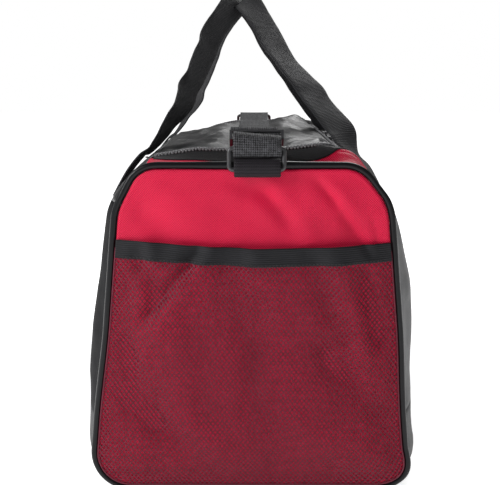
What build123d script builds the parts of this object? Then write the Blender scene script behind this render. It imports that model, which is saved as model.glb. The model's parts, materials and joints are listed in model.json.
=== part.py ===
"""Hockey equipment bag: an unzipped-lid duffel with mesh end pockets, two webbing handles and a strap.

Millimetres. X is the width, Y the length, Z up. The origin is on the resting face, under the
middle of the bag. The near end faces -Y. End pieces are drawn there and mirrored to +Y.
"""

from build123d import *
import math
import os

# ---- driving dimensions -----------------------------------------------------------------------
SEAM_Y = 380.0            # half the length between the two end seams
TAPER_Y = 318.0           # the body has its full girth between -TAPER_Y and +TAPER_Y
WALL = 3.0                # laminated fabric wall

# Half widths and heights of a cross-section's corners, and their radii: base, shoulder and top.
FULL = dict(low=195.0, shoulder=157.0, high=118.0, floor=0.0, bend=318.0, top=362.0, radii=(35, 60, 22))
SEAM = dict(low=172.0, shoulder=143.0, high=116.0, floor=7.7, bend=316.0, top=356.7, radii=(35, 60, 30))

BOOT_Z = 85.0             # top of the hard-wearing base panel where it turns up the sides
LEFT_SHOULDER_Z = 318.0   # top of the left side panel
RIGHT_SHOULDER_Z = 298.0  # top of the right side panel
GUSSET_Y = 285.0          # the end gussets start here

HINGE_X = -112.0          # sewn edge of the lid
ZIP_X = 108.0             # zip line along the right side
ZIP_Y = 306.0             # zip line across each end
ZIP_R = 45.0              # zip corner radius
TAPE_EDGE = 14.0          # zip tape reaches this far from the zip line
COIL_OUT = 3.6
COIL_IN = 1.0
COIL_LOW = 360.9
COIL_HIGH = 363.1
TAPE_THICK = 0.75
TAPE_LIFT = 0.05          # sewn tape above the body's top
LID_DROP = 0.2            # the lid and its tape lie this far lower
LID_THICK = 2.6
LID_FOLD = 3.0            # the lid starts this far from its sewn edge, clear of the fold
PANEL_EDGE = 4.0          # fabric stops this far from the zip line
STOP_SIZE = (4.0, 6.0, 1.6)
BINDING_WIDTH = 14.0      # cloth tape round the inside of each end seam
BINDING_THICK = 1.0
BINDING_GAP = 0.3

PIPING_R = 3.2
PIPING_GAP = 0.7          # between the end seam and the piping
PIPING_OUT = 1.7          # middle of the piping beyond the seam plane
POCKET_INSET = 1.5        # mesh inside the end seam
HEM_OVERRUN = 10.0        # the hem line is drawn this far past the widest seam
POCKET_DEPTH = 12.0       # end panel to the outside of the mesh
MESH_THICK = 1.5
HEM_LEFT_Z = 283.0
HEM_MIDDLE_Z = 275.0
HEM_RIGHT_Z = 279.0
HEM_HEIGHT = 20.0
HEM_THICK = 2.0

WEBBING = 50.0            # shoulder strap width
STRAP_THICK = 1.8
STRAP_X = 7.0             # the strap and its tabs sit this far right of the middle
TAB_WIDTH = 49.4
TAB_THICK = 2.0
RING_Y = -390.0           # lower bar of the ring, which is its hinge
RING_Z = 357.0
RING_WIRE = 2.5
RING_WIDTH = 57.0         # between the centres of the side bars
RING_HEIGHT = 22.0        # between the centres of the lower and upper bars
RING_CORNER = 4.0
BORE = RING_WIRE + 0.1    # webbing loops clear the wire
NEAR_LEAN = 8.0           # degrees back from upright
FAR_LEAN = 24.0
GLIDE_PLACE = (-351, 385.0)    # middle of the tri-glide, at the near end only
GLIDE_SLOPE = -32.5       # degrees, down towards the lid
GLIDE_LENGTH = 24.0
GLIDE_BAR = (3.0, 2.2)    # length and thickness of its three bars
GLIDE_BAR_Z = 4.7         # bars above and below the webbing
GLIDE_RAIL = (3.0, 11.6)  # width and height of its side rails
STRAP_CLEAR = 0.3         # strap above the lid's zip tape

HANDLE_X = 165.5          # fold line of each handle
HANDLE_Z = 308.0
HANDLE_Y = 200.0          # sewn legs at this distance from the middle
HANDLE_WIDTH = 38.0
HANDLE_THICK = 3.0
HANDLE_REACH = 281.0      # fold line to the middle of the grip
GRIP_HALF = 70.0
LEFT_LEAN = 58.5          # degrees above horizontal, leaning to the right
RIGHT_LEAN = 126.4        # the same measure, leaning to the left
LEG_TOP = 294.0
LEG_LOW = 62.0
LEG_THICK = 2.6
LEG_GAP = 0.2

SLIDER_Y = 34.0           # each zip slider rests this far from the middle of the right run
SLIDER_LENGTH = 16.0
SLIDER_PLATE = 1.6
SLIDER_LOW_WIDTH = 7.4
SLIDER_HIGH_WIDTH = 7.0
SLIDER_GAP = 0.3          # between the coil and each plate
BRIDGE = (1.5, 8.0)       # width and length of the post between the coils
LUG_X = 111.2
LUG_RISE = 4.6            # lug's hole above the coil
LUG_R = 2.4
LUG_HOLE_R = 1.1
LUG_THICK = 2.0
PIN_R = 1.05
PULL_LENGTH = 28.0
PULL_WIDTH = 7.0
PULL_THICK = 1.8
EAR = (2.0, 9.0)          # width and length of each of the pull tab's ears
BOARD = (300.0, 600.0, 3.0)
FAR = 500.0               # larger than the bag in any direction

os.makedirs("parts", exist_ok=True)


def save(piece, name):
    """Label a finished piece and write it to its own file."""
    piece.part.label = name
    export_step(piece.part, f"parts/{name}.step")


def save_far(piece, name):
    """Write the mirror image of a piece drawn at the near end."""
    with BuildPart() as far:
        mirror(piece.part, about=Plane.XZ)
    save(far, f"{name}_far")


def save_both_ends(piece, name):
    """Write the near piece and its mirror image at the far end."""
    save(piece, f"{name}_near")
    save_far(piece, name)


def outline_points(shape, grow):
    """Corners of a cross-section, before they are rounded, each side moved outward by grow."""
    right = [
        Vector(shape["low"], shape["floor"]),
        Vector(shape["shoulder"], shape["bend"]),
        Vector(shape["high"], shape["top"]),
    ]
    corners = right + [Vector(-point.X, point.Y) for point in reversed(right)]
    moved = []
    for before, corner, after in zip(corners[-1:] + corners, corners, corners[1:] + corners[:1]):
        arrive = (corner - before).normalized()
        leave = (after - corner).normalized()
        outward = Vector(arrive.Y + leave.Y, -arrive.X - leave.X)
        point = corner + outward * (grow / (1 + arrive.dot(leave)))
        moved.append((point.X, point.Y))
    return moved


def outline_radii(shape, grow):
    radii = [radius + grow for radius in shape["radii"]]
    return radii + radii[::-1]


def outline(shape, grow, mode=Mode.ADD):
    """Filled cross-section in the current sketch."""
    with BuildLine() as loop:
        FilletPolyline(*outline_points(shape, grow), radius=outline_radii(shape, grow), close=True)
    make_face(loop.edges(), mode=mode)


def zip_zone(grow):
    """The lid's area in the current sketch, its zipped edges moved outward by grow."""
    right = ZIP_X + grow
    end = ZIP_Y + grow
    with BuildLine() as loop:
        edge = FilletPolyline(
            (HINGE_X, -end), (right, -end), (right, end), (HINGE_X, end), radius=ZIP_R + grow
        )
        Line(edge @ 1, edge @ 0)
    make_face(loop.edges())


def zip_strip(inner, outer, low, high):
    """A strip that follows the zip line between two offsets from it."""
    with BuildSketch(Plane.XY.offset(low)) as outside:
        zip_zone(outer)
    extrude(outside.sketch, amount=high - low)
    with BuildSketch(Plane.XY.offset(low)) as inside:
        zip_zone(inner)
    extrude(inside.sketch, amount=high - low, mode=Mode.SUBTRACT)


def lofted_body(grow):
    """The whole body as one solid, narrower at the end seams."""
    with BuildPart() as body:
        for shape, y in ((SEAM, SEAM_Y), (FULL, TAPER_Y), (FULL, -TAPER_Y), (SEAM, -SEAM_Y)):
            with BuildSketch(Plane.XZ.offset(y)):
                outline(shape, grow)
        loft(ruled=True)
    return body.part


def keep_between(low, high):
    """Keep what lies between two opposite corners."""
    size = [b - a for a, b in zip(low, high)]
    middle = tuple((a + b) / 2 for a, b in zip(low, high))
    with Locations(middle):
        Box(*size, mode=Mode.INTERSECT)


# ---- fabric body ------------------------------------------------------------------------------
with BuildPart() as wall:
    add(lofted_body(0))
    add(lofted_body(-WALL), mode=Mode.SUBTRACT)

with BuildPart() as base_panel:
    add(wall.part)
    keep_between((-FAR, -FAR, -1), (FAR, FAR, BOOT_Z))
save(base_panel, "base_panel")

with BuildPart() as side_panel_left:
    add(wall.part)
    keep_between((-FAR, -FAR, BOOT_Z), (0, FAR, LEFT_SHOULDER_Z))
save(side_panel_left, "side_panel_left")

with BuildPart() as side_panel_right:
    add(wall.part)
    keep_between((0, -FAR, BOOT_Z), (FAR, FAR, RIGHT_SHOULDER_Z))
save(side_panel_right, "side_panel_right")

with BuildPart() as shoulder_panel_left:
    add(wall.part)
    keep_between((-FAR, -GUSSET_Y, LEFT_SHOULDER_Z), (HINGE_X, GUSSET_Y, FAR))
save(shoulder_panel_left, "shoulder_panel_left")

with BuildPart() as shoulder_panel_right:
    add(wall.part)
    keep_between((0, -GUSSET_Y, RIGHT_SHOULDER_Z), (FAR, GUSSET_Y, FAR))
    with BuildSketch(Plane.XY.offset(RIGHT_SHOULDER_Z)):
        zip_zone(PANEL_EDGE)
    extrude(amount=FAR, mode=Mode.SUBTRACT)
save(shoulder_panel_right, "shoulder_panel_right")

with BuildPart() as top_gusset:
    with Locations((-FAR / 2, -GUSSET_Y - FAR / 2, LEFT_SHOULDER_Z + FAR / 2)):
        Box(FAR, FAR, FAR)
    with Locations((FAR / 2, -GUSSET_Y - FAR / 2, RIGHT_SHOULDER_Z + FAR / 2)):
        Box(FAR, FAR, FAR)
    add(wall.part, mode=Mode.INTERSECT)
    with BuildSketch(Plane.XY.offset(RIGHT_SHOULDER_Z)):
        zip_zone(PANEL_EDGE)
    extrude(amount=FAR, mode=Mode.SUBTRACT)
save_both_ends(top_gusset, "top_gusset")

with BuildPart() as end_panel:
    with BuildSketch(Plane.XZ.offset(SEAM_Y)):
        outline(SEAM, 0)
    extrude(amount=WALL)
save_both_ends(end_panel, "end_panel")

with BuildPart() as base_board:
    with Locations((0, 0, WALL + 0.5 + BOARD[2] / 2)):
        Box(*BOARD)
    fillet(base_board.edges().filter_by(Axis.Z), radius=20)
save(base_board, "base_board")

# Cloth tape sewn round the inside of each end seam.
with BuildPart() as seam_binding:
    with BuildSketch(Plane.XZ.offset(SEAM_Y - BINDING_WIDTH)):
        outline(SEAM, -WALL - BINDING_GAP)
        outline(SEAM, -WALL - BINDING_GAP - BINDING_THICK, mode=Mode.SUBTRACT)
    extrude(amount=BINDING_WIDTH)
save_both_ends(seam_binding, "seam_binding")

# ---- piping and mesh pockets ------------------------------------------------------------------
PIPING_GROW = PIPING_R + PIPING_GAP
with BuildPart() as piping:
    with BuildLine(Plane.XZ.offset(SEAM_Y + PIPING_OUT)) as seam_line:
        FilletPolyline(
            *outline_points(SEAM, PIPING_GROW), radius=outline_radii(SEAM, PIPING_GROW), close=True
        )
    with BuildSketch(Plane(origin=seam_line.line @ 0, z_dir=seam_line.line % 0)):
        Circle(PIPING_R)
    sweep(path=seam_line.line)
save_both_ends(piping, "piping")

PANEL_FACE = SEAM_Y + WALL


def below_hem(drop, depth):
    """Everything below the sagging hem line, lowered by drop, from the end panel outward."""
    reach = SEAM["low"] + HEM_OVERRUN
    with BuildSketch(Plane.XZ.offset(PANEL_FACE)) as zone:
        with BuildLine():
            top = ThreePointArc(
                (-reach, HEM_LEFT_Z - drop), (0, HEM_MIDDLE_Z - drop), (reach, HEM_RIGHT_Z - drop)
            )
            Polyline(top @ 1, (reach, 0), (-reach, 0), top @ 0)
        make_face()
    extrude(zone.sketch, amount=depth)


with BuildPart() as hem_zone:
    below_hem(0, POCKET_DEPTH + HEM_THICK)
with BuildPart() as mesh_zone:
    below_hem(HEM_HEIGHT, POCKET_DEPTH + HEM_THICK)

with BuildPart() as mesh_pocket:
    with BuildSketch(Plane.XZ.offset(PANEL_FACE)):
        outline(SEAM, -POCKET_INSET)
    extrude(amount=POCKET_DEPTH)
    with BuildSketch(Plane.XZ.offset(PANEL_FACE)):
        outline(SEAM, -POCKET_INSET - MESH_THICK)
    extrude(amount=POCKET_DEPTH - MESH_THICK, mode=Mode.SUBTRACT)
    add(hem_zone.part, mode=Mode.INTERSECT)
save_both_ends(mesh_pocket, "mesh_pocket")

with BuildPart() as mesh_pocket_hem:
    with BuildSketch(Plane.XZ.offset(PANEL_FACE + POCKET_DEPTH)):
        outline(SEAM, -POCKET_INSET)
    extrude(amount=HEM_THICK)
    add(hem_zone.part, mode=Mode.INTERSECT)
    add(mesh_zone.part, mode=Mode.SUBTRACT)
save_both_ends(mesh_pocket_hem, "mesh_pocket_hem")

# ---- zip and lid ------------------------------------------------------------------------------
TAPE_LOW = FULL["top"] + TAPE_LIFT
TAPE_HIGH = TAPE_LOW + TAPE_THICK
LID_HIGH = FULL["top"] - LID_DROP
LID_LOW = LID_HIGH - LID_THICK
LID_EDGE_X = HINGE_X + LID_FOLD

with BuildPart() as zip_tape_body:
    zip_strip(COIL_OUT + 0.1, TAPE_EDGE, TAPE_LOW, TAPE_HIGH)
save(zip_tape_body, "zip_tape_body")

with BuildPart() as zip_coil_body:
    zip_strip(COIL_IN, COIL_OUT, COIL_LOW, COIL_HIGH)
save(zip_coil_body, "zip_coil_body")

with BuildPart() as lid_panel:
    with BuildSketch(Plane.XY.offset(LID_LOW)):
        zip_zone(-PANEL_EDGE)
    extrude(amount=LID_HIGH - LID_LOW)
    keep_between((LID_EDGE_X, -FAR, 0), (FAR, FAR, FAR))
save(lid_panel, "lid_panel")

with BuildPart() as zip_tape_lid:
    zip_strip(-TAPE_EDGE, -COIL_OUT, TAPE_LOW - LID_DROP, TAPE_HIGH - LID_DROP)
    keep_between((LID_EDGE_X, -FAR, 0), (FAR, FAR, FAR))
save(zip_tape_lid, "zip_tape_lid")

with BuildPart() as zip_coil_lid:
    zip_strip(-COIL_OUT, -COIL_IN, COIL_LOW, COIL_HIGH)
    keep_between((LID_EDGE_X, -FAR, 0), (FAR, FAR, FAR))
save(zip_coil_lid, "zip_coil_lid")

# Crimped stop at each end of the zip, on the sewn side of the fold.
with BuildPart() as zip_stop:
    with Locations((HINGE_X - 3, -ZIP_Y - 4, FULL["top"] + 0.1 + STOP_SIZE[2] / 2)):
        Box(*STOP_SIZE)
    fillet(zip_stop.edges().filter_by(Axis.Z), radius=1.0)
save_both_ends(zip_stop, "zip_stop")

# Slider: a lower plate, a bridge between the coils and an upper plate over the sewn side, with a
# lug for the pull tab. The lid's coil lifts out past the upper plate.
LUG_Z = COIL_HIGH + LUG_RISE
with BuildPart() as slider:
    with Locations((ZIP_X, -SLIDER_Y, COIL_LOW - SLIDER_GAP - SLIDER_PLATE / 2)):
        Box(SLIDER_LOW_WIDTH, SLIDER_LENGTH, SLIDER_PLATE)
    with Locations((ZIP_X, -SLIDER_Y, (COIL_LOW + COIL_HIGH) / 2)):
        Box(*BRIDGE, COIL_HIGH - COIL_LOW + 2 * SLIDER_GAP + 0.4)
    with Locations((LUG_X - 0.5, -SLIDER_Y, COIL_HIGH + SLIDER_GAP + SLIDER_PLATE / 2)):
        Box(SLIDER_HIGH_WIDTH, SLIDER_LENGTH, SLIDER_PLATE)
    with BuildSketch(Plane.YZ.offset(LUG_X - LUG_THICK / 2)):
        with Locations((-SLIDER_Y, LUG_Z)):
            Circle(LUG_R)
        with Locations((-SLIDER_Y, LUG_Z - 1.5)):
            Rectangle(2 * LUG_R, 3)
    extrude(amount=LUG_THICK)
    with BuildSketch(Plane.YZ.offset(LUG_X - LUG_THICK / 2)):
        with Locations((-SLIDER_Y, LUG_Z)):
            Circle(LUG_HOLE_R)
    extrude(amount=LUG_THICK, mode=Mode.SUBTRACT)
save_both_ends(slider, "zip_slider")

# Pull tab: a pin through the lug, two ears and a flat grip pointing away from the middle.
with BuildPart() as pull_tab:
    with BuildSketch(Plane.YZ.offset(LUG_X - PULL_WIDTH / 2)):
        with Locations((-SLIDER_Y, LUG_Z)):
            Circle(PIN_R)
    extrude(amount=PULL_WIDTH)
    for side in (-1, 1):
        with Locations((LUG_X + side * (PULL_WIDTH - EAR[0]) / 2, -SLIDER_Y - 3.5, LUG_Z)):
            Box(*EAR, PULL_THICK)
    with Locations((LUG_X, -SLIDER_Y - 5 - PULL_LENGTH / 2, LUG_Z)):
        Box(PULL_WIDTH, PULL_LENGTH - 6, PULL_THICK)
save_both_ends(pull_tab, "pull_tab")

# ---- handles ----------------------------------------------------------------------------------
SLOPE = (FULL["low"] - FULL["shoulder"]) / (FULL["bend"] - FULL["floor"])


def wall_x(z):
    """Half width of the full cross-section at a height, on its straight side."""
    return FULL["low"] - SLOPE * (z - FULL["floor"])


inner_low = wall_x(LEG_LOW) + LEG_GAP
inner_top = wall_x(LEG_TOP) + LEG_GAP
for side_name, side in (("left", -1), ("right", 1)):
    for end_name, end in (("near", -1), ("far", 1)):
        with BuildPart() as handle_leg:
            with BuildSketch(Plane.XZ.offset(-end * HANDLE_Y)):
                with BuildLine():
                    Polyline(
                        (side * inner_low, LEG_LOW),
                        (side * inner_top, LEG_TOP),
                        (side * (inner_top + LEG_THICK), LEG_TOP),
                        (side * (inner_low + LEG_THICK), LEG_LOW),
                        close=True,
                    )
                make_face()
            extrude(amount=HANDLE_WIDTH / 2, both=True)
        save(handle_leg, f"handle_leg_{side_name}_{end_name}")

for side_name, side, handle_lean in (("left", -1, LEFT_LEAN), ("right", 1, RIGHT_LEAN)):
    up = (math.cos(math.radians(handle_lean)), 0, math.sin(math.radians(handle_lean)))
    loop_plane = Plane(
        origin=(side * HANDLE_X, 0, HANDLE_Z), x_dir=(0, 1, 0), z_dir=(up[2], 0, -up[0])
    )
    with BuildPart() as handle:
        with BuildSketch(loop_plane):
            with BuildLine():
                FilletPolyline(
                    (-HANDLE_Y, 3),
                    (-HANDLE_Y + 8, 60),
                    (-GRIP_HALF, HANDLE_REACH),
                    (GRIP_HALF, HANDLE_REACH),
                    (HANDLE_Y - 8, 60),
                    (HANDLE_Y, 3),
                    radius=[60, 45, 45, 60],
                )
            trace(line_width=HANDLE_WIDTH)
        extrude(amount=HANDLE_THICK / 2, both=True)
    save(handle, f"handle_{side_name}")

# ---- shoulder strap, its tabs, rings and slides -----------------------------------------------
TAB_START = STRAP_X - TAB_WIDTH / 2
STRAP_START = STRAP_X - WEBBING / 2

with BuildPart() as strap_tab:
    with BuildSketch(Plane.YZ.offset(TAB_START)):
        with BuildLine():
            Polyline(
                (-352, 360.6), (-375, 359.6), (-378.5, 364.6), (-381.5, 365.8), (-386, 364.2),
                (-392.4, 360.1),
            )
        trace(line_width=TAB_THICK)
        with Locations((RING_Y, RING_Z)):
            Circle(BORE + TAB_THICK)
        with Locations((RING_Y, RING_Z)):
            Circle(BORE, mode=Mode.SUBTRACT)
    extrude(amount=TAB_WIDTH)
save_both_ends(strap_tab, "strap_tab")


def ring_top(ring_lean):
    """Centre of the ring's upper bar in Y and Z."""
    angle = math.radians(ring_lean)
    return RING_Y + RING_HEIGHT * math.sin(angle), RING_Z + RING_HEIGHT * math.cos(angle)


def strap_ring(ring_lean):
    """A rectangular wire ring that leans back from its lower bar."""
    angle = math.radians(ring_lean)
    ring_plane = Plane(
        origin=(STRAP_X, RING_Y, RING_Z),
        x_dir=(1, 0, 0),
        z_dir=(0, -math.cos(angle), math.sin(angle)),
    )
    half = RING_WIDTH / 2
    corners = [(-half, 0), (half, 0), (half, RING_HEIGHT), (-half, RING_HEIGHT)]
    with BuildPart() as ring:
        with BuildLine(ring_plane) as wire:
            FilletPolyline(*corners, radius=RING_CORNER, close=True)
        with BuildSketch(Plane(origin=wire.line @ 0, z_dir=wire.line % 0)) as wire_section:
            Circle(RING_WIRE)
        sweep(sections=wire_section.sketch, path=wire.line)
    return ring


def looped_strap(outer, inner, ring_lean):
    """The strap's end: two layers of webbing in Y and Z, joined by a loop round the ring's upper bar."""
    with BuildPart() as strap:
        with BuildSketch(Plane.YZ.offset(STRAP_START)) as layers:
            with BuildLine() as outer_line:
                Spline(*outer)
            trace(outer_line.edges(), line_width=STRAP_THICK)
            with BuildLine() as inner_line:
                Spline(*inner)
            trace(inner_line.edges(), line_width=STRAP_THICK)
            with Locations(ring_top(ring_lean)):
                Circle(BORE + STRAP_THICK)
            with Locations(ring_top(ring_lean)):
                Circle(BORE, mode=Mode.SUBTRACT)
        extrude(layers.sketch, amount=WEBBING)
    return strap


NEAR_OUTER = (
    (-390.0, 381.0), (-388.4, 388), (-383, 394.4), (-374, 396.6), (-362, 393.5), (-340, 380),
    (-322, 370), (-311, 367.2),
)
NEAR_INNER = (
    (-383.9, 381.0), (-383, 387), (-378.6, 391.6), (-372, 392.9), (-362, 389.8), (-341, 376.3),
    (-333, 371.8),
)
FAR_OUTER = (
    (-384.3, 378.4), (-382.6, 380.6), (-379, 381.2), (-370, 379.4), (-352, 373.8), (-330, 368.8),
    (-311, 367.2),
)
FAR_INNER = ((-377.8, 378.5), (-371, 376.2), (-362, 373.4), (-352, 370.4), (-341, 367.9))

save(strap_ring(NEAR_LEAN), "ring_near")
save(looped_strap(NEAR_OUTER, NEAR_INNER, NEAR_LEAN), "strap_end_near")
save_far(strap_ring(FAR_LEAN), "ring")
save_far(looped_strap(FAR_OUTER, FAR_INNER, FAR_LEAN), "strap_end")

# Tri-glide: two side rails, end bars over the webbing and a middle bar under it.
glide_tilt = math.radians(GLIDE_SLOPE)
glide_plane = Plane(
    origin=(STRAP_X, *GLIDE_PLACE),
    x_dir=(1, 0, 0),
    z_dir=(0, -math.sin(glide_tilt), math.cos(glide_tilt)),
)
RAIL_X = WEBBING / 2 + 2.2
with BuildPart() as tri_glide:
    with Locations(glide_plane):
        for side in (-1, 1):
            with Locations((side * RAIL_X, 0, 0)):
                Box(GLIDE_RAIL[0], GLIDE_LENGTH, GLIDE_RAIL[1])
        for offset in (-1, 1):
            with Locations((0, offset * (GLIDE_LENGTH - GLIDE_BAR[0]) / 2, GLIDE_BAR_Z)):
                Box(2 * RAIL_X, *GLIDE_BAR)
        with Locations((0, 0, -GLIDE_BAR_Z)):
            Box(2 * RAIL_X, *GLIDE_BAR)
save(tri_glide, "tri_glide_near")

with BuildPart() as strap_middle:
    with Locations((STRAP_X, 0, TAPE_HIGH + STRAP_CLEAR + STRAP_THICK / 2)):
        Box(WEBBING, 2 * (ZIP_Y - 6), STRAP_THICK)
save(strap_middle, "strap_middle")
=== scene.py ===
"""Looks of the hockey equipment bag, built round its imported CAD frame.

All shapes are worked out in millimetres in the row frame and scaled to metres when a mesh is made.
X is the width, Y the length with the near end at -Y, Z up.
"""
import json
import math

import bpy
import numpy as np
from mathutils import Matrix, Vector, noise

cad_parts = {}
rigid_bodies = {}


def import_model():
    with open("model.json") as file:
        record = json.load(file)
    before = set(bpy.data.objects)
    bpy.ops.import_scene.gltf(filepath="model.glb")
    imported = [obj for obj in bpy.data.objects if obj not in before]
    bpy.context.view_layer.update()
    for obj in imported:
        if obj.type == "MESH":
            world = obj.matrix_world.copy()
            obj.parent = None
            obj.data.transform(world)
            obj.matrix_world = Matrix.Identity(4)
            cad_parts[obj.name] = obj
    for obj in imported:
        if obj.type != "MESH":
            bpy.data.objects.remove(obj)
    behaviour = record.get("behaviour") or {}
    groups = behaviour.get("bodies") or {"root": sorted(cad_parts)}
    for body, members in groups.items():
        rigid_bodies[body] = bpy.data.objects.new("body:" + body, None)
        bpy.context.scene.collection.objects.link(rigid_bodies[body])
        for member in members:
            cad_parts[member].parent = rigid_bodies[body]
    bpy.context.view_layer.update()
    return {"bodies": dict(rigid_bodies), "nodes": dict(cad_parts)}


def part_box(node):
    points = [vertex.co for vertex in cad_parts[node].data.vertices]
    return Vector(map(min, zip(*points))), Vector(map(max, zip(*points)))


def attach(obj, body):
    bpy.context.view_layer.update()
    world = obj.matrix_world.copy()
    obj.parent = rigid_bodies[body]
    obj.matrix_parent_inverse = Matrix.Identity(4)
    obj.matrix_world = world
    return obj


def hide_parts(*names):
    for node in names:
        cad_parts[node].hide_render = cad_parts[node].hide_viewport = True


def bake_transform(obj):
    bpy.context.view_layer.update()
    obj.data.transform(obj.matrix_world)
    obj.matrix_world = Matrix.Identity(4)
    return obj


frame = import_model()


def corner(node, which, axis):
    """One coordinate of a CAD node's box in millimetres: which is 0 for low and 1 for high."""
    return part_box(node)[which][axis] * 1000


# ---- sizes, in millimetres --------------------------------------------------------------------
PANEL_Y = -corner("end_panel_near", 0, 1)       # outer face of an end panel
SEAM_Y = -corner("end_panel_near", 1, 1)        # end of the body's walls
TOP_Z = corner("shoulder_panel_left", 1, 2)
BOOT_Z = corner("base_panel", 1, 2)
LEFT_SHOULDER_Z = corner("side_panel_left", 1, 2)
RIGHT_SHOULDER_Z = corner("side_panel_right", 1, 2)
HINGE_X = corner("shoulder_panel_left", 1, 0)
FULL_Y = 300.0

# Corners of a cross-section: half width and height of base, shoulder and top, with their radii.
FULL = dict(points=((192.0, 0.0), (158.0, 317.0), (116.0, 362.0)), radii=(42.0, 60.0, 26.0))
SEAM = dict(points=((171.0, 7.5), (142.0, 316.0), (115.0, 357.0)), radii=(36.0, 58.0, 32.0))

ZIP_X = 108.0
ZIP_Y = 306.0
ZIP_R = 45.0
TAPE_REACH = 14.0
TOOTH_PITCH = 3.8

STRAP_X = 7.0
RING_Y = 390.0
RING_Z = 357.0


# ---- small tools ------------------------------------------------------------------------------
def smooth(edge0, edge1, value):
    """0 before edge0, 1 after edge1, and an even rise between them."""
    t = np.clip((value - edge0) / (edge1 - edge0), 0.0, 1.0)
    return t * t * (3 - 2 * t)


def rough(points, size, seed):
    """Smooth noise from -1 to 1 at points, whose features are about size millimetres."""
    shift = Vector((seed * 17.3, seed * 5.1, seed * 9.7))
    flat = np.asarray(points, float).reshape(-1, 3)
    values = [noise.noise(Vector(p) / size + shift) for p in flat]
    return np.array(values).reshape(np.asarray(points).shape[:-1])


def grid_faces(rows, columns, close_rows=False, close_columns=False):
    """Quads of a grid of points numbered row by row."""
    last_row = rows if close_rows else rows - 1
    last_column = columns if close_columns else columns - 1
    faces = []
    for r in range(last_row):
        for c in range(last_column):
            here = r * columns
            after = (r + 1) % rows * columns
            right = (c + 1) % columns
            faces.append((here + c, here + right, after + right, after + c))
    return faces


def settled(points):
    """The soft bag sags at the left of its far end, its ends lean right, and it sits wider at the foot
    of its right side."""
    p = np.array(points, float).reshape(-1, 3)
    x, y, z = p.T
    sag = 13 * smooth(15, 85, -x) * smooth(110, 290, y) * smooth(250, 345, z)
    lean = 3.4 * smooth(80, 190, z) * (1 - 0.8 * smooth(322, 352, z)) * smooth(335, 378, np.abs(y))
    spread = 9 * smooth(95, 150, x) * (1 - smooth(12, 52, z))
    p[:, 0] += lean + spread
    p[:, 2] -= sag
    return p


def piece(name, points, faces, material, body, uv=None):
    """A mesh object from points in millimetres, which rides on a CAD body."""
    mesh = bpy.data.meshes.new(name)
    flat = settled(points) * 0.001
    mesh.from_pydata(flat.tolist(), [], faces)
    if uv is not None:
        layer = mesh.uv_layers.new(name="UVMap")
        loops = np.empty(len(mesh.loops), int)
        mesh.loops.foreach_get("vertex_index", loops)
        coordinates = np.asarray(uv, float).reshape(-1, 2)[loops] * 0.001
        layer.data.foreach_set("uv", coordinates.ravel())
    mesh.polygons.foreach_set("use_smooth", [True] * len(mesh.polygons))
    mesh.materials.append(material)
    mesh.update()
    made = bpy.data.objects.new(name, mesh)
    bpy.context.scene.collection.objects.link(made)
    if body:
        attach(made, body)
    return made


def thicken(made, thickness, offset=-1.0):
    """Give a sheet its cloth thickness in millimetres."""
    shell = made.modifiers.new("thickness", "SOLIDIFY")
    shell.thickness = thickness * 0.001
    shell.offset = offset
    shell.use_even_offset = True
    return made


def mirrored(points):
    """The same points at the far end."""
    return np.asarray(points, float) * (1, -1, 1)


def flipped(faces):
    return [tuple(reversed(face)) for face in faces]


def both_ends(name, points, faces, material, body, node, uv=None, thickness=0.0):
    """A near piece and its mirror image, each standing for its own CAD node."""
    made = []
    for end, placed, turned in (("near", points, faces), ("far", mirrored(points), flipped(faces))):
        on = body if body in frame["bodies"] else f"{body}_{end}"
        new = piece(f"{name}_{end}", placed, turned, material, on, uv)
        if thickness:
            thicken(new, thickness)
        if node:
            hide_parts(*[f"{each}_{end}" for each in node.split()])
        made.append(new)
    return made


def rounded(corners, radii, spacing=2.0):
    """Points round a closed polygon with rounded corners, evenly spaced, first at its lowest middle."""
    corners = [np.array(c, float) for c in corners]
    path = []
    for i, here in enumerate(corners):
        before = corners[i - 1]
        after = corners[(i + 1) % len(corners)]
        arrive = (here - before) / np.linalg.norm(here - before)
        leave = (after - here) / np.linalg.norm(after - here)
        turn = math.acos(np.clip(arrive @ leave, -1, 1))
        reach = radii[i] * math.tan(turn / 2)
        start = here - arrive * reach
        centre = start + np.array((-arrive[1], arrive[0])) * radii[i]
        steps = max(4, int(radii[i] * turn / spacing))
        for k in range(steps + 1):
            angle = turn * k / steps
            spoke = start - centre
            cos, sin = math.cos(angle), math.sin(angle)
            path.append(centre + (spoke[0] * cos - spoke[1] * sin, spoke[0] * sin + spoke[1] * cos))
    path.append(path[0])
    return np.array(path)


def section_corners(section, grow=0.0):
    """All six corners of a cross-section, counter-clockwise, each side moved outward by grow."""
    right = [np.array(p, float) for p in section["points"]]
    points = right + [p * (-1, 1) for p in reversed(right)]
    moved = []
    for i, here in enumerate(points):
        arrive = here - points[i - 1]
        leave = points[(i + 1) % len(points)] - here
        arrive /= np.linalg.norm(arrive)
        leave /= np.linalg.norm(leave)
        outward = np.array((arrive[1] + leave[1], -arrive[0] - leave[0]))
        moved.append(here + outward * grow / (1 + arrive @ leave))
    return moved


def section_outline(section, grow=0.0, spacing=2.0):
    radii = [r + grow for r in section["radii"]]
    return rounded(section_corners(section, grow), radii + radii[::-1], spacing)


def along(path, count):
    """count points evenly spaced along a polyline."""
    steps = np.r_[0, np.cumsum(np.linalg.norm(np.diff(path, axis=0), axis=1))]
    wanted = np.linspace(0, steps[-1], count)
    return np.stack([np.interp(wanted, steps, path[:, k]) for k in range(path.shape[1])], axis=1)


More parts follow.
